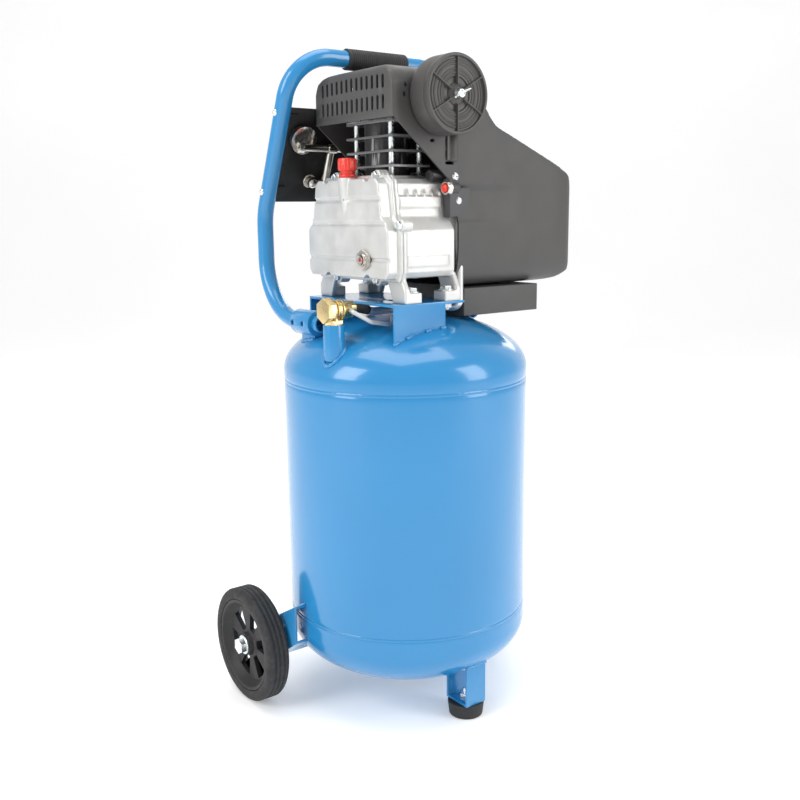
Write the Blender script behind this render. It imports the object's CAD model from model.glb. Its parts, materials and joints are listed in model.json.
import bmesh
import bpy
import json
import math
from mathutils import Matrix, Vector, noise


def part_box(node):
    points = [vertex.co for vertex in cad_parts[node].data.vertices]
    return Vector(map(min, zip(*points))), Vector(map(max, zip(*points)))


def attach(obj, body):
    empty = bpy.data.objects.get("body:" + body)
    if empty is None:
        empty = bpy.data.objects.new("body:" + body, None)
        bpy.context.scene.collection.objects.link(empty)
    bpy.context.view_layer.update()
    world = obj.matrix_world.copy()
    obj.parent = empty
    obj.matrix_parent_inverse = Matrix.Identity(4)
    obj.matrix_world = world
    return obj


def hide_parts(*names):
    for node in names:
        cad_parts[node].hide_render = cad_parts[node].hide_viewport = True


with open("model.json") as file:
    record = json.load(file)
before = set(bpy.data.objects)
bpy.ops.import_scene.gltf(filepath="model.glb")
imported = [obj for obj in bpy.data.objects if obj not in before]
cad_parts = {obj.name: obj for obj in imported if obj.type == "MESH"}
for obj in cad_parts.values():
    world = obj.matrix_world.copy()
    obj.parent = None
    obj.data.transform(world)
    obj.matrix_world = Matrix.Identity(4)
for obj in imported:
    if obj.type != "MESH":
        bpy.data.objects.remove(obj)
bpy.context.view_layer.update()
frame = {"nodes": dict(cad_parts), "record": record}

# The tank's axis at floor level is the datum that every piece below is measured from, in millimetres.
low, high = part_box("tank_shell")
DATUM = Vector(((low.x + high.x) / 2, (low.y + high.y) / 2, 0))
# the handle's arms kink at (KINK_Y, KINK_Z) and meet its top bar at (BAR_Y, BAR_Z)
KINK_Y, KINK_Z = 131, 605
BAR_Y, BAR_Z = 55, 786
LEAN = math.atan2(KINK_Y - BAR_Y, BAR_Z - KINK_Z)
CRANK_Z = 590


def at(x, y, z):
    """A place in metres from millimetres off the tank's axis."""
    return DATUM + Vector((x, y, z)) / 1000


def on_panel(x, up, out):
    """A place on the slanted panel: x to the user's right, up the slope, out towards the user."""
    s, c = math.sin(LEAN), math.cos(LEAN)
    return at(-x, KINK_Y - s * up + c * out, KINK_Z + c * up + s * out)


PANEL_OUT = Vector((0, math.cos(LEAN), math.sin(LEAN)))
PANEL_UP = Vector((0, -math.sin(LEAN), math.cos(LEAN)))
X, Y, Z = Vector((1, 0, 0)), Vector((0, 1, 0)), Vector((0, 0, 1))


# ------------------------------------------------------------------ materials

def material(name, colour, rough, metal=0.0, coat=0.0, spread=0.08, spread_scale=30, grain=0.1,
             grain_scale=900,
             grain_depth=0.1, rough_spread=0.06, wear=0.0, wear_colour=(0.6, 0.6, 0.6), dust=0.0,
             stretch=None,
             specular=0.5):
    """A finish with drifting colour, uneven roughness, a fine relief and lighter worn edges."""
    made = bpy.data.materials.new(name)
    made.use_nodes = True
    tree = made.node_tree
    shader = tree.nodes["Principled BSDF"]
    shader.inputs["Metallic"].default_value = metal
    shader.inputs["Coat Weight"].default_value = coat
    shader.inputs["Coat Roughness"].default_value = 0.06
    shader.inputs["Specular IOR Level"].default_value = specular
    place = tree.nodes.new("ShaderNodeTexCoord").outputs["Object"]
    if stretch:
        mapping = tree.nodes.new("ShaderNodeMapping")
        mapping.inputs["Scale"].default_value = stretch
        tree.links.new(place, mapping.inputs["Vector"])
        place = mapping.outputs["Vector"]

    def cloud(scale, detail=4.0):
        node = tree.nodes.new("ShaderNodeTexNoise")
        node.inputs["Scale"].default_value = scale
        node.inputs["Detail"].default_value = detail
        tree.links.new(place, node.inputs["Vector"])
        return node.outputs["Fac"]

    def ramp(source, start, end, a, b):
        node = tree.nodes.new("ShaderNodeMapRange")
        node.inputs["From Min"].default_value = start
        node.inputs["From Max"].default_value = end
        node.inputs["To Min"].default_value = a
        node.inputs["To Max"].default_value = b
        tree.links.new(source, node.inputs["Value"])
        return node.outputs["Result"]

    def mix(factor, a, b):
        node = tree.nodes.new("ShaderNodeMix")
        node.data_type = "RGBA"
        tree.links.new(factor, node.inputs["Factor"])
        for socket, value in ((node.inputs[6], a), (node.inputs[7], b)):
            if isinstance(value, bpy.types.NodeSocket):
                tree.links.new(value, socket)
            else:
                socket.default_value = (*value, 1)
        return node.outputs[2]

    drift = cloud(spread_scale, 6.0)
    colour_out = mix(ramp(drift, 0.35, 0.65, 0, 1), [c * (1 - spread) for c in colour],
                     [min(1, c * (1 + spread)) for c in colour])
    if dust:
        colour_out = mix(ramp(cloud(spread_scale * 7, 8.0), 0.52, 0.78, 0, dust), colour_out,
                         [0.4 + 0.4 * c for c in colour])
    if wear:
        edge = tree.nodes.new("ShaderNodeNewGeometry").outputs["Pointiness"]
        colour_out = mix(ramp(edge, 0.53, 0.62, 0, wear), colour_out, wear_colour)
    tree.links.new(colour_out, shader.inputs["Base Color"])
    tree.links.new(ramp(cloud(spread_scale * 3, 5.0), 0.3, 0.7, max(0.03, rough - rough_spread),
                        min(1, rough + rough_spread)), shader.inputs["Roughness"])
    bump = tree.nodes.new("ShaderNodeBump")
    bump.inputs["Strength"].default_value = grain
    bump.inputs["Distance"].default_value = grain_depth / 1000
    tree.links.new(cloud(grain_scale, 3.0), bump.inputs["Height"])
    tree.links.new(bump.outputs["Normal"], shader.inputs["Normal"])
    return made


BLUE = material("tank_paint", (0.018, 0.235, 0.52), 0.22, coat=0.5, spread=0.03, spread_scale=6, grain=0.25,
                grain_scale=260, grain_depth=0.05, rough_spread=0.04, wear=0.25,
                wear_colour=(0.10, 0.36, 0.66))
CAST = material("die_cast_alloy", (0.66, 0.66, 0.64), 0.46, metal=0.55, spread=0.07, spread_scale=25,
                grain=0.55,
                grain_scale=1300, grain_depth=0.18, rough_spread=0.10, wear=0.5,
                wear_colour=(0.86, 0.86, 0.85),
                dust=0.15)
COVER = material("moulded_cover", (0.062, 0.060, 0.058), 0.50, spread=0.06, spread_scale=14, grain=0.7,
                 grain_scale=2600, grain_depth=0.09, rough_spread=0.05, wear=0.35,
                 wear_colour=(0.14, 0.14, 0.135))
FILTER = material("filter_plastic", (0.055, 0.053, 0.050), 0.42, spread=0.08, spread_scale=20, grain=0.5,
                  grain_scale=1900, grain_depth=0.06, wear=0.4, wear_colour=(0.15, 0.145, 0.14))
RIM = material("rim_plastic", (0.018, 0.018, 0.018), 0.55, spread=0.08, spread_scale=28, grain=0.5,
               grain_scale=1800, grain_depth=0.07, wear=0.4, wear_colour=(0.09, 0.09, 0.09))
TYRE = material("tyre_rubber", (0.017, 0.017, 0.018), 0.70, spread=0.12, spread_scale=30, grain=0.7,
                grain_scale=1500, grain_depth=0.12, rough_spread=0.10, wear=0.35,
                wear_colour=(0.10, 0.10, 0.10),
                dust=0.06)
RUBBER = material("grip_rubber", (0.022, 0.022, 0.022), 0.66, spread=0.10, spread_scale=35, grain=0.6,
                  grain_scale=1700, grain_depth=0.12, wear=0.25, wear_colour=(0.07, 0.07, 0.07))
IRON = material("black_iron", (0.020, 0.020, 0.021), 0.40, metal=0.2, spread=0.15, spread_scale=40, grain=0.6,
                grain_scale=1100, grain_depth=0.15, rough_spread=0.12, wear=0.9,
                wear_colour=(0.34, 0.34, 0.34))
STEEL = material("machined_steel", (0.50, 0.50, 0.51), 0.30, metal=1.0, spread=0.08, spread_scale=40,
                 grain=0.3,
                 grain_scale=900, grain_depth=0.03, stretch=(12, 1, 1))
ZINC = material("bright_zinc", (0.74, 0.78, 0.78), 0.26, metal=0.95, spread=0.08, spread_scale=90, grain=0.3,
                grain_scale=1200, grain_depth=0.03, rough_spread=0.10, wear=0.4,
                wear_colour=(0.92, 0.93, 0.93))
BRASS = material("turned_brass", (0.70, 0.53, 0.25), 0.27, metal=1.0, spread=0.10, spread_scale=60,
                 grain=0.35,
                 grain_scale=1300, grain_depth=0.05, rough_spread=0.10, wear=0.5,
                 wear_colour=(0.90, 0.78, 0.50))
NICKEL = material("nickel_plate", (0.62, 0.59, 0.54), 0.16, metal=1.0, spread=0.06, spread_scale=50,
                  grain=0.2,
                  grain_scale=800, grain_depth=0.03, rough_spread=0.06)
TUBE = material("drawn_alloy_tube", (0.74, 0.74, 0.74), 0.32, metal=0.85, spread=0.05, spread_scale=60,
                grain=0.25,
                grain_scale=700, grain_depth=0.04)
HOSE = material("nylon_tube", (0.62, 0.63, 0.62), 0.35, metal=0.3, spread=0.04, spread_scale=60, grain=0.2,
                grain_scale=900, grain_depth=0.03)
PANEL = material("panel_paint", (0.004, 0.004, 0.004), 0.62, spread=0.12, spread_scale=25, grain=0.5,
                 grain_scale=1400, grain_depth=0.06, wear=0.4, wear_colour=(0.04, 0.04, 0.04))
RED = material("red_plastic", (0.78, 0.035, 0.02), 0.30, coat=0.3, spread=0.06, spread_scale=50, grain=0.25,
               grain_scale=1100, grain_depth=0.04, wear=0.2, wear_colour=(0.95, 0.25, 0.18))
SWITCH = material("switch_plastic", (0.050, 0.050, 0.054), 0.45, spread=0.08, spread_scale=30, grain=0.6,
                  grain_scale=2100, grain_depth=0.08, wear=0.35, wear_colour=(0.14, 0.14, 0.15))
PAPER = material("filter_paper", (0.70, 0.64, 0.48), 0.85, spread=0.10, spread_scale=60, grain=0.8,
                 grain_scale=700, grain_depth=0.2, stretch=(1, 0.1, 1))
DIAL = material("dial_white", (0.84, 0.84, 0.82), 0.5, spread=0.02, spread_scale=50, grain=0.1,
                grain_scale=900,
                grain_depth=0.02)
INK = material("dial_ink", (0.012, 0.012, 0.012), 0.5, spread=0.1, spread_scale=90, grain=0.1,
               grain_scale=900,
               grain_depth=0.02)
WINDING = material("copper_winding", (0.62, 0.26, 0.10), 0.35, metal=0.8, spread=0.15, spread_scale=90,
                   grain=0.8,
                   grain_scale=500, grain_depth=0.4, stretch=(0.3, 1, 1))


def glass_material():
    made = bpy.data.materials.new("lens_glass")
    made.use_nodes = True
    tree = made.node_tree
    shader = tree.nodes["Principled BSDF"]
    shader.inputs["Base Color"].default_value = (0.95, 0.97, 0.97, 1)
    shader.inputs["Transmission Weight"].default_value = 1.0
    shader.inputs["IOR"].default_value = 1.45
    haze = tree.nodes.new("ShaderNodeTexNoise")
    haze.inputs["Scale"].default_value = 180
    spread = tree.nodes.new("ShaderNodeMapRange")
    spread.inputs["To Min"].default_value = 0.02
    spread.inputs["To Max"].default_value = 0.07
    tree.links.new(haze.outputs["Fac"], spread.inputs["Value"])
    tree.links.new(spread.outputs["Result"], shader.inputs["Roughness"])
    return made


GLASS = glass_material()


# ------------------------------------------------------------------ mesh helpers

def finish_piece(name, mesh, finish, body, nodes=(), smooth=True):
    """A mesh as a piece: its finish, the body it rides on and the CAD nodes it stands for."""
    piece = bpy.data.objects.new(name, mesh)
    bpy.context.collection.objects.link(piece)
    mesh.materials.clear()
    mesh.materials.append(finish)
    if smooth:
        mesh.shade_smooth()
    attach(piece, body)
    if nodes:
        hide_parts(*nodes)
    return piece


def bevelled(piece, width, segments=2, angle=28):
    edge = piece.modifiers.new("edges", "BEVEL")
    edge.width = width / 1000
    edge.segments = segments
    edge.limit_method = "ANGLE"
    edge.angle_limit = math.radians(angle)
    edge.harden_normals = True
    edge.miter_outer = "MITER_ARC"
    return piece


def mesh_from(verts, faces, name="shape"):
    mesh = bpy.data.meshes.new(name)
    mesh.from_pydata([tuple(v) for v in verts], [], faces)
    work = bmesh.new()
    work.from_mesh(mesh)
    bmesh.ops.recalc_face_normals(work, faces=work.faces)
    work.to_mesh(mesh)
    work.free()
    return mesh


def frame_of(direction):
    """Two directions across the given one."""
    side = direction.orthogonal().normalized()
    return side, direction.cross(side).normalized()


def lathe(profile, centre, direction, steps=96, closed=True, ripple=None):
    """Turns (distance along, radius) pairs in millimetres about an axis.

    ripple(angle, index) adds to the radius.
    """
    side, other = frame_of(direction)
    verts, faces, count = [], [], len(profile)
    for k in range(steps):
        angle = 2 * math.pi * k / steps
        radial = side * math.cos(angle) + other * math.sin(angle)
        for i, (along, radius) in enumerate(profile):
            extra = ripple(angle, i) if ripple else 0
            verts.append(centre + direction * along / 1000 + radial * max(0.0, radius + extra) / 1000)
    rows = count if closed else count - 1
    for k in range(steps):
        n = (k + 1) % steps
        for i in range(rows):
            j = (i + 1) % count
            faces.append((k * count + i, k * count + j, n * count + j, n * count + i))
    mesh = mesh_from(verts, faces, "turned")
    work = bmesh.new()
    work.from_mesh(mesh)
    bmesh.ops.remove_doubles(work, verts=work.verts, dist=2e-6)
    bmesh.ops.dissolve_degenerate(work, edges=work.edges, dist=1e-7)
    bmesh.ops.recalc_face_normals(work, faces=work.faces)
    work.to_mesh(mesh)
    work.free()
    return mesh


def rounded_profile(points, radius, steps=4, closed=True):
    """The same outline with its corners turned into short arcs."""
    out, count = [], len(points)
    for i, here in enumerate(points):
        if not closed and i in (0, count - 1):
            out.append(tuple(here))
            continue
        p, c, n = (Vector(points[i - 1]), Vector(here), Vector(points[(i + 1) % count]))
        r = radius[i] if isinstance(radius, (list, tuple)) else radius
        a, b = (p - c), (n - c)
        reach = min(r, a.length * 0.45, b.length * 0.45)
        start, end = c + a.normalized() * reach, c + b.normalized() * reach
        for k in range(steps + 1):
            t = k / steps
            out.append(tuple(start * (1 - t) ** 2 + c * 2 * t * (1 - t) + end * t * t))
    return out


def tube_mesh(path, radius, steps=20, closed=False, ripple=0.0, squash=1.0, up=None):
    """A round bead or tube along points in metres. ripple makes the scales of a weld."""
    verts, faces, count = [], [], len(path)
    previous = None
    for i, point in enumerate(path):
        ahead = path[(i + 1) % count] if closed or i < count - 1 else path[i]
        behind = path[i - 1] if closed or i > 0 else path[i]
        along = (ahead - behind).normalized()
        if up is not None:
            side = along.cross(up).normalized()
        elif previous is None:
            side = along.orthogonal().normalized()
        else:
            side = (previous - along * previous.dot(along)).normalized()
        previous = side
        other = along.cross(side).normalized()
        r = radius / 1000 * (1 + ripple * math.sin(i * 2 * math.pi / 5))
        for k in range(steps):
            a = 2 * math.pi * k / steps
            verts.append(point + side * math.cos(a) * r + other * math.sin(a) * r * squash)
    rings = count if closed else count - 1
    for i in range(rings):
        j = (i + 1) % count
        for k in range(steps):
            m = (k + 1) % steps
            faces.append((i * steps + k, i * steps + m, j * steps + m, j * steps + k))
    if not closed:
        faces.append(tuple(range(steps))[::-1])
        faces.append(tuple((count - 1) * steps + k for k in range(steps)))
    return mesh_from(verts, faces, "tube")


def spread_along(points, spacing):
    """Evenly spaced points along a polyline in metres, spacing in millimetres."""
    out, step = [], spacing / 1000
    for a, b in zip(points, points[1:]):
        n = max(1, round((b - a).length / step))
        out += [a.lerp(b, k / n) for k in range(n)]
    return out + [points[-1]]


def weld(name, points, radius=2.0, closed=False):
    """A painted weld bead with its scales."""
    if closed:
        points = points + [points[0]]
    path = spread_along(points, 1.3)
    if closed:
        path = path[:-1]
    return finish_piece(name, tube_mesh(path, radius, 10, closed, 0.13), BLUE, "machine")


def prism(outline, direction, start, length, across, upward):
    """An outline of (across, up) pairs in metres, extruded along a direction."""
    n = len(outline)
    verts = [start + across * u + upward * v for u, v in outline]
    verts += [v + direction * length for v in verts]
    faces = [tuple(range(n)), tuple(range(n, 2 * n))]
    faces += [(k, (k + 1) % n, n + (k + 1) % n, n + k) for k in range(n)]
    return mesh_from(verts, faces, "prism")


def baked(piece):
    """The piece's mesh with its modifiers applied, and the modifiers removed."""
    graph = bpy.context.evaluated_depsgraph_get()
    mesh = bpy.data.meshes.new_from_object(piece.evaluated_get(graph))
    piece.modifiers.clear()
    piece.data = mesh
    return piece


def loose(mesh, name="work"):
    piece = bpy.data.objects.new(name, mesh)
    bpy.context.collection.objects.link(piece)
    return piece


def combine(base, tool, operation):
    """A boolean of two loose objects. The tool is removed."""
    change = base.modifiers.new("combine", "BOOLEAN")
    change.object, change.operation, change.solver = tool, operation, "EXACT"
    baked(base)
    bpy.data.objects.remove(tool, do_unlink=True)
    return base


def cad_copy(node):
    """A CAD node's mesh, with its flat faces joined again."""
    work = bmesh.new()
    work.from_mesh(frame["nodes"][node].data)
    bmesh.ops.remove_doubles(work, verts=work.verts, dist=1e-6)
    bmesh.ops.dissolve_limit(work, angle_limit=math.radians(0.6), verts=work.verts, edges=work.edges)
    mesh = bpy.data.meshes.new(node)
    work.to_mesh(mesh)
    work.free()
    return mesh


def body_of_node(node):
    return next(b for b, nodes in frame["record"]["behaviour"]["bodies"].items() if node in nodes)


def softened(node, finish, width=0.6, segments=2, angle=28, name=None):
    """The CAD shape with its edges rounded as the real piece's are."""
    piece = finish_piece(name or node + "_piece", cad_copy(node), finish, body_of_node(node),
                         [node])
    return bevelled(piece, width, segments, angle)


def as_casting(node, finish, voxel, rounds, name=None):
    """The CAD shape with every edge and corner melted a little, as a casting's or moulding's are."""
    piece = loose(cad_copy(node), name or node + "_casting")
    remesh = piece.modifiers.new("skin", "REMESH")
    remesh.mode, remesh.voxel_size = "VOXEL", voxel / 1000
    ease = piece.modifiers.new("ease", "SMOOTH")
    ease.factor, ease.iterations = 0.5, rounds
    baked(piece)
    mesh = piece.data
    bpy.data.objects.remove(piece, do_unlink=True)
    return finish_piece(name or node + "_casting", mesh, finish, body_of_node(node),
                        [node])


def hex_head(name, centre, direction, flats, height, body="machine", finish=ZINC, washer=0.0,
             shank=0.0):
    """A bolt head with its rounded corners, washer face and shallow recess."""
    side, other = frame_of(direction)
    corner = flats / 2 / math.cos(math.pi / 6)
    verts, faces = [], []
    rings = [(0, corner), (height * 0.78, corner), (height, corner * 0.86), (height, corner * 0.55),
             (height - 0.5, corner * 0.50)]
    for along, radius in rings:
        for k in range(6):
            a = math.pi / 3 * k
            outward = side * math.cos(a) + other * math.sin(a)
            verts.append(centre + direction * along / 1000 + outward * radius / 1000)
    for r in range(len(rings) - 1):
        for k in range(6):
            n = (k + 1) % 6
            faces.append((r * 6 + k, r * 6 + n, r * 6 + 6 + n, r * 6 + 6 + k))
    faces.append(tuple(range(6))[::-1])
    faces.append(tuple((len(rings) - 1) * 6 + k for k in range(6)))
    mesh = mesh_from(verts, faces, name)
    piece = finish_piece(name, mesh, finish, body)
    bevelled(piece, 0.35, 2, 20)
    extra = []
    if washer:
        ring = rounded_profile([(-1.6, washer), (0, washer), (0, flats * 0.3), (-1.6, flats * 0.3)], 0.3, 2)
        extra.append(finish_piece(name + "_washer", lathe(ring, centre, direction, 40), finish, body))
    if shank:
        rod = rounded_profile([(-shank, 0), (-shank, flats * 0.3), (0, flats * 0.3), (0, 0)], 0.4, 2)
        extra.append(finish_piece(name + "_shank", lathe(rod, centre, direction, 24, False), finish, body))
    return [piece] + extra


# ------------------------------------------------------------------ tank

R, WALL = 150.0, 2.5
LOW_SEAM, TOP_SEAM = 120, 407.4
LOW_TANGENT, LOW_DEPTH = 100, 70
TOP_TANGENT, TOP_DEPTH = 420, 67


def dome(tangent, depth, sign, inset=0.0, steps=30):
    """Half the section of a pressed head as (height, radius), from its flange to its middle."""
    return [(tangent + sign * (depth - inset) * math.sin(math.pi / 2 * k / steps),
             (R - inset) * math.cos(math.pi / 2 * k / steps)) for k in range(steps + 1)]


def seam_step(height):
    """The radius dips beside a girth weld, so that the bead itself stays flush."""
    gap = min(abs(height - LOW_SEAM), abs(height - TOP_SEAM))
    return -0.9 * math.exp(-(gap / 3.2) ** 2)


def flange(start, end):
    """A head's straight edge as (height, radius) pairs, closest together at the weld."""
    count = 14
    heights = [start + (end - start) * (k / count) ** 2 for k in range(count + 1)]
    return [(z, R + seam_step(z)) for z in heights]


tank_base = at(0, 0, 0)
beside_weld = (0.8, 1.8, 3, 4.5, 6, 9)
rise = [LOW_SEAM + 287.4 * k / 60 for k in range(61)]
rise += [LOW_SEAM + d for d in beside_weld] + [TOP_SEAM - d for d in beside_weld]
shell_profile = [(z, R + seam_step(z)) for z in sorted(set(rise))]
shell_profile += [(TOP_SEAM, R - WALL), (LOW_SEAM, R - WALL)]
finish_piece("tank_shell_rolled", lathe(shell_profile, tank_base, Z, 192), BLUE, "machine",
             ["tank_shell"])
top_profile = flange(TOP_SEAM, TOP_TANGENT)[:-1] + dome(TOP_TANGENT, TOP_DEPTH, 1)
top_profile += dome(TOP_TANGENT, TOP_DEPTH, 1, WALL)[::-1] + [(TOP_SEAM, R - WALL)]
finish_piece("tank_top_pressed", lathe(top_profile, tank_base, Z, 192), BLUE, "machine",
             ["tank_top_head"])
low_profile = flange(LOW_SEAM, LOW_TANGENT)[:-1] + dome(LOW_TANGENT, LOW_DEPTH, -1)
low_profile += dome(LOW_TANGENT, LOW_DEPTH, -1, WALL)[::-1] + [(LOW_SEAM, R - WALL)]
finish_piece("tank_bottom_pressed", lathe(low_profile, tank_base, Z, 192), BLUE, "machine",
             ["tank_bottom_head"])


def dome_height(x, y):
    """The top head's height above a place in plan."""
    return TOP_TANGENT + TOP_DEPTH * math.sqrt(max(0, 1 - (x * x + y * y) / R ** 2))


def belly_height(x, y):
    """The bottom head's height above a place in plan."""
    return LOW_TANGENT - LOW_DEPTH * math.sqrt(max(0, 1 - (x * x + y * y) / R ** 2))


def girth_bead(name, height):
    """A low, wide bead that ends flush with the shell."""
    rows, count = 9, 720
    verts, faces = [], []
    for k in range(count):
        a = 2 * math.pi * k / count
        for i in range(rows):
            t = i / (rows - 1) * 2 - 1
            scale = 1 + 0.12 * math.sin(k * math.pi / 3 + 1.3 * abs(t))
            radius = R - 1.01 + 0.9 * (1 - t * t) * scale
            verts.append(at(radius * math.cos(a), radius * math.sin(a), height + 2.3 * t))
    for k in range(count):
        n = (k + 1) % count
        for i in range(rows - 1):
            faces.append((k * rows + i, n * rows + i, n * rows + i + 1, k * rows + i + 1))
        faces.append((k * rows, k * rows + rows - 1, n * rows + rows - 1, n * rows))
    finish_piece(name, mesh_from(verts, faces, name), BLUE, "machine")


girth_bead("lower_girth_weld", LOW_SEAM)
girth_bead("upper_girth_weld", TOP_SEAM)

# the shell's lengthwise weld, ground almost flat
seam_angle = math.radians(-46)
rows = 7
verts, faces = [], []
for k in range(221):
    z = 123 + 281.4 * k / 220
    for i in range(rows):
        t = i / (rows - 1) * 2 - 1
        wander = 0.12 * noise.noise(Vector((z * 0.05, 0, 3)))
        a = seam_angle + (t * 2.4 + wander) / R
        radius = R - 0.35 + 0.34 * (1 - t * t) * (1 + 0.15 * math.sin(k * 1.9))
        verts.append(at(radius * math.cos(a), radius * math.sin(a), z))
for k in range(220):
    for i in range(rows - 1):
        a = k * rows + i
        faces.append((a, a + 1, a + rows + 1, a + rows))
    faces.append((k * rows, (k + 1) * rows, (k + 1) * rows + rows - 1, k * rows + rows - 1))
faces += [tuple(range(rows)), tuple(220 * rows + i for i in range(rows))[::-1]]
finish_piece("lengthwise_weld", mesh_from(verts, faces, "ridge"), BLUE, "machine")

# the check valve's post and the riser port, with their welds
for name, x, y, top, radius, bore in (("valve_post", -128, -35, 483, 12, 8),
                                      ("riser_port", 62, 96, 480, 11, 5)):
    foot = dome_height(x, y) - 9
    ring = rounded_profile([(foot, bore), (foot, radius), (top, radius), (top, bore)], 0.8, 3)
    finish_piece(name, lathe(ring, at(x, y, 0), Z, 64), BLUE, "machine")
    loop = [(x + (radius + 0.6) * math.cos(2 * math.pi * k / 60),
             y + (radius + 0.6) * math.sin(2 * math.pi * k / 60))
            for k in range(60)]
    weld(name + "_weld", [at(u, v, dome_height(u, v) + 0.6) for u, v in loop], 2.2, True)


# ------------------------------------------------------------------ foot, wheels and their brackets

softened("foot_bracket", BLUE, 1.1, 3, name="foot_strap")
for y in (-135, -97):
    edge = [at(x, y, belly_height(x, y)) for x in (-15, -8, 0, 8, 15)]
    weld("foot_weld_%d" % (y + 200), edge, 2.0)
foot_profile = rounded_profile([(0, 9.3), (0, 19.2), (1.2, 20.6), (16.8, 22.4), (18, 21.6), (18, 4.3),
                                (9, 4.3),
                                (9, 9.3)], 0.7, 3)
finish_piece("moulded_foot", lathe(foot_profile, at(0, -116, 0), Z, 64), RUBBER, "machine",
             ["rubber_foot"])

softened("wheel_brackets", BLUE, 0.9, 2, name="wheel_plates")
for sign, side in ((-1, "left"), (1, "right")):
    for z0, y0, y1, z1, label in ((138, 9, 58, 110, "top"), (94, 9, 56, 60, "low")):
        line = []
        for k in range(13):
            y, z = y0 + (y1 - y0) * k / 12, z0 + (z1 - z0) * k / 12
            belt = R if z > 100 else R * math.sqrt(1 - ((100 - z) / 70) ** 2)
            line.append(at(sign * (math.sqrt(belt ** 2 - y * y) + 0.3), y, z + (2 if label == "top" else -1)))
        weld("%s_bracket_%s_weld" % (side, label), line, 2.0)


for sign, side in ((-1, "left"), (1, "right")):
    body = side + "_wheel"
    hub = at(sign * 184, 86, 72)
    out = X * sign
    crown = []
    for centre in (6, 0, -6):
        crown += [(centre + 1.5, 72.0), (centre + 0.8, 71.0), (centre, 70.6), (centre - 0.8, 71.0),
                  (centre - 1.5, 72.0)]
    section = [(12.5, 58.2), (14.0, 59.0), (14.5, 61.0), (14.5, 65.5), (13.8, 68.6), (12.2, 70.9),
               (10.2, 72.0)]
    section += crown + [(-10.2, 72.0), (-12.2, 70.9), (-13.8, 68.6), (-14.5, 65.5), (-14.5, 61.0),
                        (-14.0, 59.0),
                        (-12.5, 58.2)]
    finish_piece(side + "_moulded_tyre", lathe(section, hub, out, 160), TYRE, body,
                 [side + "_tyre"])
    softened(side + "_wheel_rim", RIM, 0.9, 3, 30, side + "_spoked_rim")
    # the rim's inner lip beside the tyre
    lip = rounded_profile([(12.2, 54.5), (13.3, 55.2), (13.3, 57.6), (12.2, 57.9)], 0.5, 3)
    finish_piece(side + "_rim_lip", lathe(lip, hub, out, 120), RIM, body)
softened("axle_bolts", ZINC, 0.7, 2, 25, "axle_hardware")

softened("drain_valve_body", BRASS, 0.5, 2, name="drain_cock_body")
softened("drain_valve_knob", BRASS, 0.6, 2, name="drain_cock_knob")


# ------------------------------------------------------------------ platform and crankcase

softened("pump_platform", BLUE, 1.0, 3, name="folded_platform")
for y, spots in ((-88, (-80, -62, -34, -12)), (88, (-80, -62, -34, -12))):
    for x in spots:
        line = [at(x + d, y, dome_height(x + d, y) + 0.5) for d in (-3.5, 0, 3.5)]
        weld("platform_tack_%d_%d" % (y + 100, x + 100), line, 2.3)

as_casting("crankcase", CAST, 1.25, 5, "crankcase_casting")
as_casting("crankcase_cover", CAST, 1.0, 6, "cover_casting")

for place, turn, flats in (((41, 647), -X, 9), ((-41, 647), -X, 9), ((84, 592), -X, 9), ((-84, 592), -X, 9),
                           ((40, 530.5), -X, 9), ((-40, 530.5), -X, 9)):
    y, z = place
    label = "cover_bolt_%d_%d" % (y + 100, z)
    hex_head(label, at(-70, y, z), turn, flats, 4.5, shank=6)
for x in (-50, 1):
    for y in (-78, 78):
        label = "case_bolt_%d_%d" % (x + 60, y + 100)
        hex_head(label, at(x, y, 518.4), Z, 13, 4.1, washer=8.5)
        hex_head(label + "_nut", at(x, y, 501.6), -Z, 13, 5.4, shank=16.4)
        tip = rounded_profile([(-15, 0), (-15, 4), (0.6, 4), (1.4, 3.2), (1.4, 0)], 0.3, 2, False)
        finish_piece(label + "_tip", lathe(tip, at(x, y, 495.6), -Z, 24, False), ZINC, "machine")
hex_head("foot_nut", at(0, -116, 21), Z, 13, 5.5, shank=1)
tip = rounded_profile([(-20, 0), (-20, 4), (5.4, 4), (6.2, 3.2), (6.2, 0)], 0.3, 2, False)
foot_shank = finish_piece("foot_bolt_shank", lathe(tip, at(0, -116, 27), Z, 24, False), ZINC, "machine")
hex_head("foot_bolt_head", at(0, -116, 9), -Z, 13, 5.4)
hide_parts("bolts")

# cast bosses round the cover's bolts
for y, z in ((41, 647), (-41, 647), (84, 592), (-84, 592), (40, 530.5), (-40, 530.5)):
    boss = rounded_profile([(-0.1, 2.5), (-0.1, 6.6), (-13.5, 7.0), (-13.5, 2.5)], 1.2, 4)
    finish_piece("bolt_boss_%d_%d" % (y + 100, z), lathe(boss, at(-69.8, y, z), -X, 40), CAST, "machine")

softened("oil_filler_plug", RED, 0.9, 3, name="filler_plug")
for k in range(18):
    a = 2 * math.pi * k / 18
    rib = [at(-79 + 10.3 * math.cos(a), 3 + 10.3 * math.sin(a), z) for z in (655.5, 660, 666.5)]
    finish_piece("plug_rib_%02d" % k, tube_mesh(rib, 0.7, 8), RED, "machine")

softened("sight_glass", NICKEL, 0.7, 3, name="sight_glass_ring")
lens = rounded_profile([(0, 0), (1.4, 3.2), (0.9, 5.6), (0, 6.2)], 0.4, 3, False)
finish_piece("sight_lens", lathe(lens, at(-92, -38, 553.8), -X, 48, False), GLASS, "machine")
dot = rounded_profile([(0, 0), (0.5, 2.4), (0, 2.7)], 0.2, 2, False)
finish_piece("sight_dot", lathe(dot, at(-92.05, -38, 553.8), -X, 32, False), RED, "machine")


# ------------------------------------------------------------------ cylinder, head, motor

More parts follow.
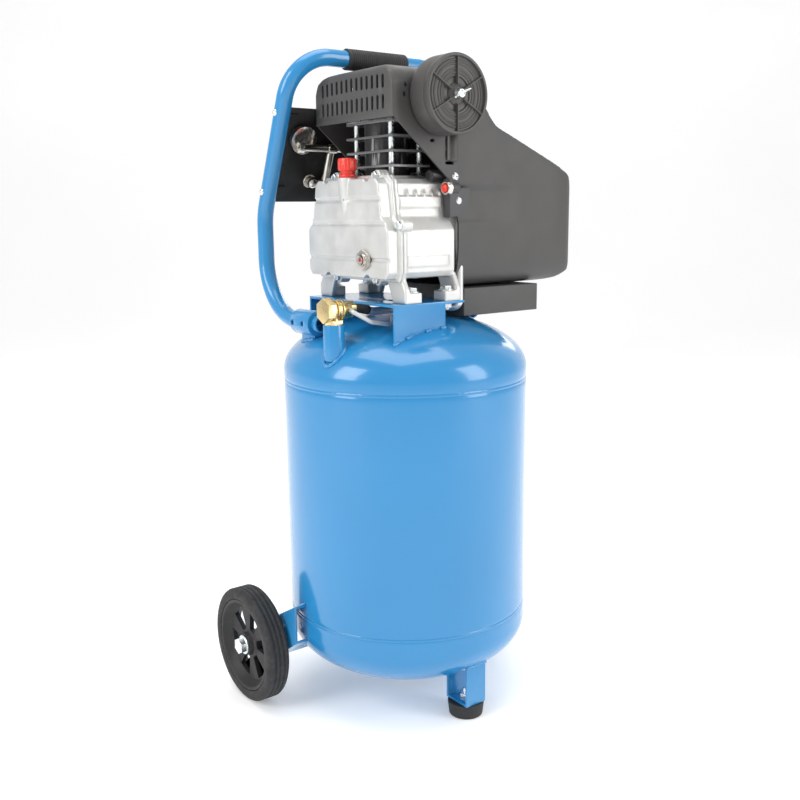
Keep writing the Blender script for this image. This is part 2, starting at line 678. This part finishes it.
softened("cylinder", IRON, 0.7, 2, name="finned_barrel")
softened("valve_plate", STEEL, 0.4, 2, name="valve_plate_sheet")
softened("cylinder_head", IRON, 0.8, 2, name="finned_head")
softened("cylinder_studs", ZINC, 0.5, 2, name="through_studs")
for node, finish, width in (("piston", CAST, 0.4), ("wrist_pin", STEEL, 0.4), ("connecting_rod", CAST, 0.8),
                            ("crank", IRON, 0.8), ("main_bearings", STEEL, 0.4), ("motor_shaft", STEEL, 0.5),
                            ("rotor", IRON, 0.5), ("stator", WINDING, 0.6), ("motor_housing", CAST, 1.2),
                            ("cooling_fan", SWITCH, 0.5)):
    softened(node, finish, width, 2)


# ------------------------------------------------------------------ moulded cover

def mm(points):
    return [(u / 1000, v / 1000) for u, v in points]


def arcs(points, radii, steps=8):
    return rounded_profile(points, radii, steps)


side_outline = arcs([(-73.5, 700), (-73.5, 763), (-50, 769.4), (22, 769.6), (47, 750), (62, 727), (80, 705),
                     (98, 698.5),
                     (172, 668), (212, 651), (222, 636), (228.6, 605), (228.6, 565), (220, 538), (205, 522),
                     (170, 517.2),
                     (-20, 517.2), (-73.5, 600)],
                    [1, 8, 20, 24, 22, 18, 18, 14, 60, 18, 16, 30, 30, 22, 20, 30, 1, 1])
front_half = [(12, 769.8), (40, 768.4), (60, 764.5), (71, 758.5), (77.6, 747), (77.8, 720), (77.8, 560),
              (74, 536),
              (62, 521), (40, 517.2)]
front_outline = arcs(front_half + [(-y, z) for y, z in reversed(front_half)],
                     [20, 20, 16, 12, 9, 30, 30, 16, 16, 20] + [20, 16, 16, 30, 30, 9, 12, 16, 20, 20])
plan_half = [(-78, 77.8), (188, 77.8), (210, 73.5), (223, 62), (228.6, 36)]
plan_outline = arcs(plan_half + [(x, -y) for x, y in reversed(plan_half)],
                    [1, 24, 16, 16, 25, 25, 16, 16, 24, 1])


def cover_block():
    block = loose(prism(mm(side_outline), Y, at(0, -82, 0), 0.164, X, Z), "cover")
    combine(block, loose(prism(mm(front_outline), X, at(-90, 0, 0), 0.34, Y, Z)), "INTERSECT")
    combine(block, loose(prism(mm(plan_outline), Z, at(0, 0, 480), 0.32, X, Y)), "INTERSECT")
    remesh = block.modifiers.new("skin", "REMESH")
    remesh.mode, remesh.voxel_size = "VOXEL", 0.0026
    ease = block.modifiers.new("ease", "SMOOTH")
    ease.factor, ease.iterations = 0.5, 9
    return baked(block)


def long_hole(centre, direction, across, length, width, depth):
    """A slot with round ends, as a prism about the centre."""
    other = direction.cross(across)
    half = (length - width) / 2
    outline = []
    for end in (1, -1):
        for k in range(9):
            a = -math.pi / 2 + math.pi * k / 8
            outline.append((end * (half + width / 2 * math.cos(a)) / 1000,
                            end * width / 2 * math.sin(a) / 1000))
    return prism(outline, direction, centre - direction * depth / 2000, depth / 1000, across, other)


def joined(meshes):
    work = bmesh.new()
    for mesh in meshes:
        work.from_mesh(mesh)
    out = bpy.data.meshes.new("joined")
    work.to_mesh(out)
    work.free()
    return out


def fade(value, start, end):
    t = max(0.0, min(1.0, (value - start) / (end - start)))
    return t * t * (3 - 2 * t)


cover = cover_block()
for vertex in cover.data.vertices:
    x, y, z = (vertex.co - DATUM) * 1000
    if abs(y) > 60 and x < 150:
        # the waist below the crease, fading towards the motor's end
        waist = (1 - fade(x, 45, 132)) * (1 - fade(z, 632.4, 634.6))
        shelf = fade(z, 594, 597.5)
        vertex.co.y -= math.copysign(waist * (1.2 + 2.2 * shelf) / 1000, y)
ease = cover.modifiers.new("ease", "SMOOTH")
ease.factor, ease.iterations = 0.4, 1
shell = cover.modifiers.new("wall", "SOLIDIFY")
shell.thickness, shell.offset = 0.0025, -1
baked(cover)

# the side towards the crankcase, below the sloping edge, is open
for gap in ([(-100, 709), (-71, 709), (13, 637), (22, 600), (22, 505), (-100, 505)],
            [(-100, 772), (-73.3, 772), (-73.3, 690), (-100, 690)]):
    combine(cover, loose(prism(mm(gap), Y, at(0, -90, 0), 0.18, X, Z)), "DIFFERENCE")
openings = []
for row, length, rise in ((747.2, 15, 1.6), (725.7, 15.6, 0)):
    for k in range(13):
        y = -60 + 10 * k
        openings.append(long_hole(at(-73, y, row + rise * (1 - (y / 60) ** 2)), X, Z, length, 4.4, 12))
for k in range(6):
    openings.append(long_hole(at(228, 0, CRANK_Z - 36 + 13 * k), X, Y, 90, 5.5, 14))
for x, z, length, turn in ((-18, 685, 7, X), (2.6, 684, 9, Z), (2.6, 671, 9, Z), (7, 661, 13, X),
                           (-55, 743, 5, Z),
                           (-57, 733, 6, Z)):
    openings.append(long_hole(at(x, -78, z), Y, turn, length, 3.6, 14))
openings.append(long_hole(at(-9, -78, 732.6), Y, X, 28.01, 28, 14))
combine(cover, loose(joined(openings)), "DIFFERENCE")
cover_mesh = cover.data
bpy.data.objects.remove(cover, do_unlink=True)
cover_piece = finish_piece("moulded_motor_cover", cover_mesh, COVER, "machine",
                           ["motor_cover"])
sharp = cover_piece.modifiers.new("normals", "EDGE_SPLIT")
sharp.split_angle = math.radians(42)

# the moulded tube below the filter, its web, and the cover's screw
tube_path = [at(11.7, -77.5, z) for z in (663, 668, 680, 692)]
finish_piece("cover_tube_boss", tube_mesh(tube_path, 6.2, 28), COVER, "machine")
web = rounded_profile([(2, 0), (8, 0), (8, 3.2), (2, 3.2)], 0.6, 2)
web_mesh = prism(mm(web), Z, at(0, -77.2, 664), 0.028, X, -Y)
bevelled(finish_piece("cover_tube_web", web_mesh, COVER, "machine", smooth=True), 0.5)
screw = rounded_profile([(0, 0), (2.2, 0), (2.0, 3.2), (0.4, 4.9), (0, 4.9)], 0.7, 3, False)
finish_piece("cover_screw", lathe(screw, at(16, -77.6, 646), -Y, 40, False), ZINC, "machine")
cross = [tube_mesh([at(16 - 2.2, -79.75, 646), at(16 + 2.2, -79.75, 646)], 0.45, 8),
         tube_mesh([at(16, -79.75, 643.8), at(16, -79.75, 648.2)], 0.45, 8)]
finish_piece("cover_screw_recess", joined(cross), INK, "machine")

softened("capacitor_box", COVER, 1.1, 3, name="box_under_motor")

# overload switch: folded bracket with its pointed tab, the small can, bezel and reset button
tab = rounded_profile([(6, 633), (35, 633), (31, 612), (24, 601), (6, 601)], [1, 2, 4, 3, 1], 4)
tab_mesh = prism(mm(tab), Y, at(0, -81.8, 0), 0.0022, X, Z)
tab_piece = finish_piece("overload_bracket", tab_mesh, SWITCH, "machine",
                         ["overload_switch"])
bevelled(tab_piece, 0.5, 2)
fold = rounded_profile([(-82, 600), (-70, 600), (-70, 644), (-82, 644)], 2, 4)
bevelled(finish_piece("overload_fold", prism(mm(fold), X, at(4, 0, 0), 0.0024, Y, Z), SWITCH, "machine"), 0.5)
bezel = rounded_profile([(-2, 5.3), (-2.2, 7.6), (4, 8.4), (4, 5.3)], 0.6, 3)
finish_piece("overload_bezel", lathe(bezel, at(0, -80, 633), X, 48), NICKEL, "machine")
can = rounded_profile([(6.4, 0), (6.4, 7), (18, 7), (18, 0)], 1.0, 3, False)
finish_piece("overload_can", lathe(can, at(0, -78, 633), X, 40, False), SWITCH, "machine")
button = rounded_profile([(-5, 0), (-4.6, 3.6), (-3.4, 5.0), (0.8, 5.0), (0.8, 0)], 0.7, 4, False)
finish_piece("reset_button_cap", lathe(button, at(0, -80, 633), X, 48, False), RED, "reset_button",
             ["overload_button"])
tab_screw = rounded_profile([(0, 0), (1.8, 0), (1.6, 2.8), (0.3, 4.2), (0, 4.2)], 0.6, 3, False)
finish_piece("overload_screw", lathe(tab_screw, at(18, -81.6, 619), -Y, 36, False), ZINC, "machine")
lead = rounded_profile([(-15, 0), (-15, 5.2), (-13, 6.4), (12, 6.4), (14, 5.4), (14, 0)], 0.8, 3, False)
finish_piece("capacitor_can", lathe(lead, at(0, -66, 647.5), X, 44, False), IRON, "machine")


# ------------------------------------------------------------------ intake filter

face = at(-9, 0, 732.6)
cup = rounded_profile([(-80, 41), (-80, 42.4), (-84, 43.1), (-103.4, 43.1), (-103.9, 41.8), (-103.9, 38),
                       (-82.5, 38),
                       (-82.5, 9), (-80, 9)], 0.9, 3)
finish_piece("filter_cup", lathe(cup, face, Y, 128), FILTER, "machine", ["filter_housing"])
neck = rounded_profile([(-83, 6), (-83, 8.9), (-44, 8.9), (-44, 6)], 0.5, 2)
finish_piece("filter_neck", lathe(neck, face, Y, 48), FILTER, "machine")
stud = rounded_profile([(-117.5, 0), (-118, 2.4), (-117, 2.9), (-82, 2.9), (-82, 0)], 0.4, 2, False)
finish_piece("filter_stud", lathe(stud, face, Y, 24, False), ZINC, "machine")
rings = [(-104.1, 0), (-104.1, 43.2), (-111.0, 43.2), (-111.9, 42.4), (-111.9, 39.8), (-108.6, 39.2)]
for ring in (35.6, 31.8, 26.2, 22.4):
    rings += [(-108.6, ring + 1.2), (-109.6, ring + 0.6), (-109.6, ring - 0.6), (-108.6, ring - 1.2)]
rings += [(-108.6, 19.0), (-106.9, 18.2), (-106.9, 12.2), (-108.4, 11.6), (-111.2, 6.4), (-111.4, 0)]
finish_piece("filter_lid", lathe(rounded_profile(rings, 0.35, 2, False), face, Y, 144, False), FILTER,
             "machine",
             ["filter_cover"])
for k in range(6):
    a = math.radians(30 + 60 * k)
    radial = X * math.cos(a) + Z * math.sin(a)
    across = radial.cross(Y)
    section = [(-0.9, -106.9), (0.9, -106.9), (0.55, -111.7), (-0.55, -111.7)]
    start = face + radial * 0.0105
    rib = prism([(u / 1000, v / 1000) for u, v in section], radial, start, 0.0295, across, Y)
    bevelled(finish_piece("filter_rib_%d" % k, rib, FILTER, "machine"), 0.3)
pleats = 60
verts, faces = [], []
for k in range(pleats * 2):
    a = math.pi * k / pleats
    r = 36.5 if k % 2 else 27
    for y in (-102, -86):
        verts.append(face + Vector((math.cos(a) * r, y, math.sin(a) * r)) / 1000)
    for y in (-102, -86):
        verts.append(face + Vector((math.cos(a) * (r - 1.2), y, math.sin(a) * (r - 1.2))) / 1000)
for k in range(pleats * 2):
    n = (k + 1) % (pleats * 2)
    p, q = k * 4, n * 4
    faces += [(p, q, q + 1, p + 1), (p + 2, p + 3, q + 3, q + 2), (p, p + 2, q + 2, q),
              (p + 1, q + 1, q + 3, p + 3)]
finish_piece("pleated_element", mesh_from(verts, faces, "pleats"), PAPER, "machine",
             ["filter_element"],
             smooth=False)


def wing(sign):
    """One ear of the wing nut, thinner and wider towards its tip."""
    verts, rows = [], [(3.0, 3.0, 2.4), (6.0, 3.4, 1.5), (9.0, 4.6, 1.2), (11.6, 4.6, 1.1), (13.0, 2.4, 0.8)]
    for i, (reach, tall, thick) in enumerate(rows):
        lift = 0.9 * i
        for u, v in ((-thick, -tall), (thick, -tall), (thick, tall), (-thick, tall)):
            verts.append(face + (X * sign * 0.9 + Z * sign * 0.43) * reach / 1000
                         + Vector((0, -115.5 - lift + v * 0.55, 0)) / 1000
                         + (Z * 0.9 - X * 0.43) * u / 1000)
    faces = [(0, 1, 2, 3), tuple(16 + k for k in (3, 2, 1, 0))]
    for i in range(4):
        faces += [(i * 4 + k, i * 4 + (k + 1) % 4, i * 4 + 4 + (k + 1) % 4, i * 4 + 4 + k) for k in range(4)]
    return mesh_from(verts, faces, "wing")


nut = rounded_profile([(-111.6, 3.0), (-111.6, 6.4), (-114, 5.6), (-118.6, 4.4), (-118.6, 3.0)], 0.6, 3)
finish_piece("wing_nut_hub", lathe(nut, face, Y, 40), ZINC, "machine", ["filter_wing_nut"])
for sign, label in ((1, "right"), (-1, "left")):
    ear = finish_piece("wing_nut_%s_ear" % label, wing(sign), ZINC, "machine")
    soft = ear.modifiers.new("round", "SUBSURF")
    soft.levels = soft.render_levels = 2


# ------------------------------------------------------------------ pipes, handle

softened("check_valve", BRASS, 0.7, 2, 25, "brass_check_valve")
softened("discharge_pipe", TUBE, 0.3, 1, 50)
softened("unloader_tube", HOSE, 0.2, 1, 50)
softened("supply_pipe", TUBE, 0.3, 1, 50)
softened("handle_frame", BLUE, 0.5, 2, 50, "bent_handle")
grip_profile = [(-43.4, 10.2), (-43.4, 11.6), (-42.6, 12.4)]
for k in range(27):
    x = -39 + 3 * k
    grip_profile += [(x - 1.0, 12.4), (x - 0.6, 11.8), (x + 0.6, 11.8), (x + 1.0, 12.4)]
grip_profile += [(42.6, 12.4), (43.4, 11.6), (43.4, 10.2)]
finish_piece("ribbed_grip", lathe(grip_profile, at(0, BAR_Y, BAR_Z), X, 72), RUBBER, "machine",
             ["handle_grip"])
softened("handle_sockets", BLUE, 0.8, 2, 30, "welded_sockets")
for sign, side in ((-1, "left"), (1, "right")):
    line = [at(sign * 119.4, y, dome_height(119.4, y) + 0.6) for y in (21, 27, 34, 41, 47)]
    weld(side + "_socket_weld", line, 2.2)
# domed screws that hold the panel's straps to the arms
for sign, side in ((1, "left"), (-1, "right")):
    for up in (30, 128):
        dome = rounded_profile([(9.4, 0), (9.4, 4.2), (11.2, 3.4), (12.2, 1.6), (12.4, 0)], 0.5, 3, False)
        finish_piece("%s_arm_screw_%d" % (side, up), lathe(dome, on_panel(sign * 117, up, 0), X * -sign, 32,
                                                           False), ZINC,
                     "machine")
sleeve_path = spread_along([at(-101.5, -35, 499), at(-92, -35, 499), at(-80, -35, 496.3)], 4)
finish_piece("pipe_sleeve", tube_mesh(sleeve_path, 5.4, 24), RUBBER, "machine")


# ------------------------------------------------------------------ control panel

softened("control_panel", PANEL, 0.6, 2, name="panel_plate")
softened("manifold", NICKEL, 0.6, 2, 30, "plated_manifold")
softened("pressure_switch", SWITCH, 2.0, 4, 30, "switch_housing")
softened("switch_knob", RED, 1.0, 3, 30, "pull_knob")
softened("coupler_body", NICKEL, 0.5, 2, 30, "coupler_core")
softened("safety_valve", BRASS, 0.5, 2, 30, "relief_valve_body")
softened("safety_valve_ring", STEEL, 0.3, 2, 30, "relief_valve_ring")

knob_centre = on_panel(28, 95, 0)


def knurl(angle, index):
    return 0.55 * math.tanh(3 * math.cos(24 * angle)) if 2 <= index <= 7 else 0.0


knob_profile = [(22, 0), (22, 12.2), (22.6, 13.6), (24, 14.4), (30, 14.4), (36, 14.2), (38.6, 13.6),
                (39.6, 12.2),
                (40, 9.6), (39.2, 8.6), (39.0, 0)]
finish_piece("regulator_grip", lathe(knob_profile, knob_centre, PANEL_OUT, 288, False, knurl), SWITCH,
             "regulator",
             ["regulator_knob"])
stem = rounded_profile([(8.2, 0), (8.2, 2.9), (22.4, 2.9), (22.4, 0)], 0.3, 2, False)
finish_piece("regulator_stem", lathe(stem, knob_centre, PANEL_OUT, 28, False), STEEL, "regulator")
index_mark = [knob_centre + PANEL_OUT * 0.0392 + PANEL_UP * r for r in (0.0045, 0.0078)]
finish_piece("regulator_mark", tube_mesh(index_mark, 0.6, 8), DIAL, "regulator")


def sleeve_knurl(angle, index):
    return 0.22 * math.cos(40 * angle) if 3 <= index <= 8 else 0.0


coupler = on_panel(62, 45, 0)
sleeve = [(18.1, 9.6), (18.1, 12.4), (18.6, 13.0), (19.4, 13.0), (20.6, 13.0), (22.6, 12.7), (25.4, 12.7),
          (27.2, 13.2),
          (28.0, 13.7), (30.8, 13.7), (32.2, 13.0), (33.0, 12.2), (33.0, 9.6)]
finish_piece("knurled_sleeve", lathe(sleeve, coupler, PANEL_OUT, 240, True, sleeve_knurl), NICKEL,
             "release_sleeve",
             ["coupler_sleeve"])

DIGITS = {"0": "abcdef", "2": "abged", "4": "fgbc", "6": "afgedc", "8": "abcdefg"}
STROKES = {"a": ((-1, 2), (1, 2)), "b": ((1, 2), (1, 0)), "c": ((1, 0), (1, -2)), "d": ((1, -2), (-1, -2)),
           "e": ((-1, -2), (-1, 0)), "f": ((-1, 0), (-1, 2)), "g": ((-1, 0), (1, 0))}


def gauge(x, up, body, name, node):
    """A pressure gauge: rolled bezel, white dial with ticks and numbers, needle on its hub, domed lens."""
    centre = on_panel(x, up, 0)
    right = -X
    ring = rounded_profile([(2, 18.9), (2.0, 19.6), (3, 19.9), (12.5, 19.9), (14.4, 19.3), (14.9, 18.4),
                            (14.2, 17.4),
                            (12.8, 17.2), (12.8, 17.9), (10.0, 17.9), (10.0, 0), (2, 0)], 0.4, 3, False)
    finish_piece(name + "_case", lathe(ring, centre, PANEL_OUT, 96, False), NICKEL, "machine")
    plate = rounded_profile([(10.05, 0), (10.35, 0.5), (10.35, 17.0), (10.05, 17.6)], 0.1, 2, False)
    finish_piece(name + "_dial", lathe(plate, centre, PANEL_OUT, 72, False), DIAL, "machine")
    marks = []
    for k in range(31):
        a = math.radians(-135 + 9 * k)
        along = right * math.sin(a) + PANEL_UP * math.cos(a)
        inner = 0.0132 if k % 5 == 0 else 0.0147
        points = [centre + PANEL_OUT * 0.0104 + along * r for r in (inner, 0.0163)]
        marks.append(tube_mesh(points, 0.32 if k % 5 == 0 else 0.17, 6, squash=0.4, up=PANEL_OUT))
    for k, digit in enumerate("02468"):
        a = math.radians(-135 + 270 * k / 4)
        middle = centre + PANEL_OUT * 0.0104 + (right * math.sin(a) + PANEL_UP * math.cos(a)) * 0.0106
        for stroke in DIGITS[digit]:
            points = [middle + (right * u + PANEL_UP * v) * 0.00072 for u, v in STROKES[stroke]]
            marks.append(tube_mesh(points, 0.2, 6, squash=0.4, up=PANEL_OUT))
    finish_piece(name + "_scale", joined(marks), INK, "machine")
    glass = [(14.1 - 0.9 * (r / 17.3) ** 2, r) for r in (0, 4, 8, 12, 15, 17.3)]
    glass += [(along - 0.5, r) for along, r in reversed(glass)]
    finish_piece(name + "_lens", lathe(glass, centre, PANEL_OUT, 72, False), GLASS, "machine")
    a = math.radians(-135)
    along = right * math.sin(a) + PANEL_UP * math.cos(a)
    side = along.cross(PANEL_OUT)
    outline = [(-0.7, -4.5), (0.7, -4.5), (0.9, 0), (0.15, 14.2), (-0.15, 14.2), (-0.9, 0)]
    pointer = prism(mm(outline), PANEL_OUT, centre + PANEL_OUT * 0.0112, 0.0005, side, along)
    hub = lathe(rounded_profile([(10.4, 0), (10.4, 1.6), (12.2, 1.4), (12.2, 0)], 0.3, 2, False), centre,
                PANEL_OUT,
                32, False)
    finish_piece(name + "_needle", joined([pointer, hub]), INK, body, [node])


gauge(83, 99, "tank_needle", "tank_gauge", "tank_gauge_needle")
gauge(-30, 95, "outlet_needle", "outlet_gauge", "outlet_gauge_needle")
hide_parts("gauge_cases")
for x, up in ((83, 99), (-30, 95)):
    stem = rounded_profile([(-2, 0), (-2, 5.4), (2.4, 5.4), (2.4, 0)], 0.3, 2, False)
    finish_piece("gauge_stem_%d" % (x + 100), lathe(stem, on_panel(x, up, 0), PANEL_OUT, 32, False), NICKEL,
                 "machine")

# the switch housing's lid line, its screws and the panel's own screws
for x, up in ((-94, 36), (-56, 36), (-94, 98), (-56, 98)):
    dome_screw = rounded_profile([(55.6, 0), (55.6, 3.0), (56.8, 2.2), (57.2, 0)], 0.5, 3, False)
    finish_piece("switch_screw_%d_%d" % (x + 100, up), lathe(dome_screw, on_panel(x, up, 0), PANEL_OUT, 28,
                                                             False),
                 ZINC, "machine")
groove = [on_panel(x, up, 22) for x, up in ((-100.1, 29.9), (-49.9, 29.9), (-49.9, 104.1), (-100.1, 104.1))]
groove.append(groove[0])
finish_piece("switch_lid_seam", tube_mesh(spread_along(groove, 4)[:-1], 0.5, 8, True), INK, "machine")
for sign in (-1, 1):
    for up in (32, 122):
        screw = rounded_profile([(0, 0), (0, 3.6), (1.4, 3.0), (2.2, 0)], 0.6, 3, False)
        finish_piece("panel_screw_%d_%d" % (sign + 2, up),
                     lathe(screw, on_panel(sign * 100, up, 2.0), PANEL_OUT, 32, False), ZINC, "machine")
# straps that hold the panel to the arms
for sign in (-1, 1):
    for up in (32, 122):
        strap = rounded_profile([(-6, -0.9), (6, -0.9), (6, 0.9), (-6, 0.9)], 0.4, 2)
        start = on_panel(sign * 96, up, -1.0)
        piece = prism(mm(strap), -X * sign, start, 0.0135, PANEL_UP, PANEL_OUT)
        bevelled(finish_piece("panel_strap_%d_%d" % (sign + 2, up), piece, PANEL, "machine"),
                 0.3)


# ------------------------------------------------------------------ floor, light, camera

def plain(name, colour, rough, glow=0.0):
    made = material(name, colour, rough, spread=0.01, spread_scale=2, grain=0.05, grain_scale=200,
                    grain_depth=0.05)
    shader = made.node_tree.nodes["Principled BSDF"]
    shader.inputs["Emission Color"].default_value = (1, 1, 1, 1)
    shader.inputs["Emission Strength"].default_value = glow
    return made


work = bmesh.new()
reach = 6.0
rows = [(-reach, 0)] + [(3.0 + 1.5 * math.sin(math.pi / 2 * k / 12),
                         1.5 - 1.5 * math.cos(math.pi / 2 * k / 12))
                        for k in range(13)] + [(4.5, 6.0)]
azimuth = math.radians(-37.2)
away = Vector((-math.sin(azimuth), math.cos(azimuth), 0))
across = Vector((away.y, -away.x, 0))
grid = [[work.verts.new(away * d + across * s + Z * h) for s in (-reach, 0, reach)] for d, h in rows]
for a, b in zip(grid, grid[1:]):
    for i in range(2):
        work.faces.new((a[i], a[i + 1], b[i + 1], b[i]))
floor_mesh = bpy.data.meshes.new("studio_floor")
work.to_mesh(floor_mesh)
work.free()
floor_mesh.shade_smooth()
floor = bpy.data.objects.new("studio_floor", floor_mesh)
floor_mesh.materials.append(plain("studio_white", (0.90, 0.90, 0.90), 0.9, 0.22))
bpy.context.collection.objects.link(floor)

world = bpy.data.worlds.new("studio")
bpy.context.scene.world = world
world.use_nodes = True
world.node_tree.nodes["Background"].inputs["Color"].default_value = (1, 1, 1, 1)
world.node_tree.nodes["Background"].inputs["Strength"].default_value = 0.62
bpy.context.scene.view_settings.view_transform = "Standard"


def softbox(name, place, target, width, height, power):
    lamp = bpy.data.lights.new(name, "AREA")
    lamp.shape, lamp.size, lamp.size_y, lamp.energy = "RECTANGLE", width, height, power
    holder = bpy.data.objects.new(name, lamp)
    bpy.context.collection.objects.link(holder)
    holder.location = place
    holder.rotation_mode = "QUATERNION"
    holder.rotation_quaternion = (Vector(target) - Vector(place)).to_track_quat("-Z", "Y")


right = Vector((0.7953, -0.6061, 0))
towards = Vector((-0.61, -0.79, 0))
softbox("key_left", towards * 1.3 - right * 1.9 + Z * 1.5, (0, 0, 0.4), 1.0, 1.8, 30)
softbox("fill_right", towards * 0.9 + right * 2.1 + Z * 1.2, (0, 0, 0.4), 0.9, 1.9, 24)
softbox("top", Vector((0, 0, 2.6)), (0, 0, 0), 1.8, 1.8, 26)
softbox("back_rim", -towards * 2.0 + right * 0.8 + Z * 1.6, (0, 0, 0.5), 1.2, 1.4, 14)

camera_data = bpy.data.cameras.new("camera")
camera_data.sensor_width = 36
camera_data.lens = 43.38
camera = bpy.data.objects.new("camera", camera_data)
bpy.context.collection.objects.link(camera)
forward = Vector((0.5933, 0.7819, -0.1914)).normalized()
sideways = Vector((0.7953, -0.6061, -0.0108))
sideways = (sideways - forward * sideways.dot(forward)).normalized()
upward = sideways.cross(forward).normalized()
turn = Matrix((sideways, upward, -forward)).transposed()
camera.matrix_world = Matrix.Translation(at(-723.5, -942.0, 606.8)) @ turn.to_4x4()
bpy.context.scene.camera = camera
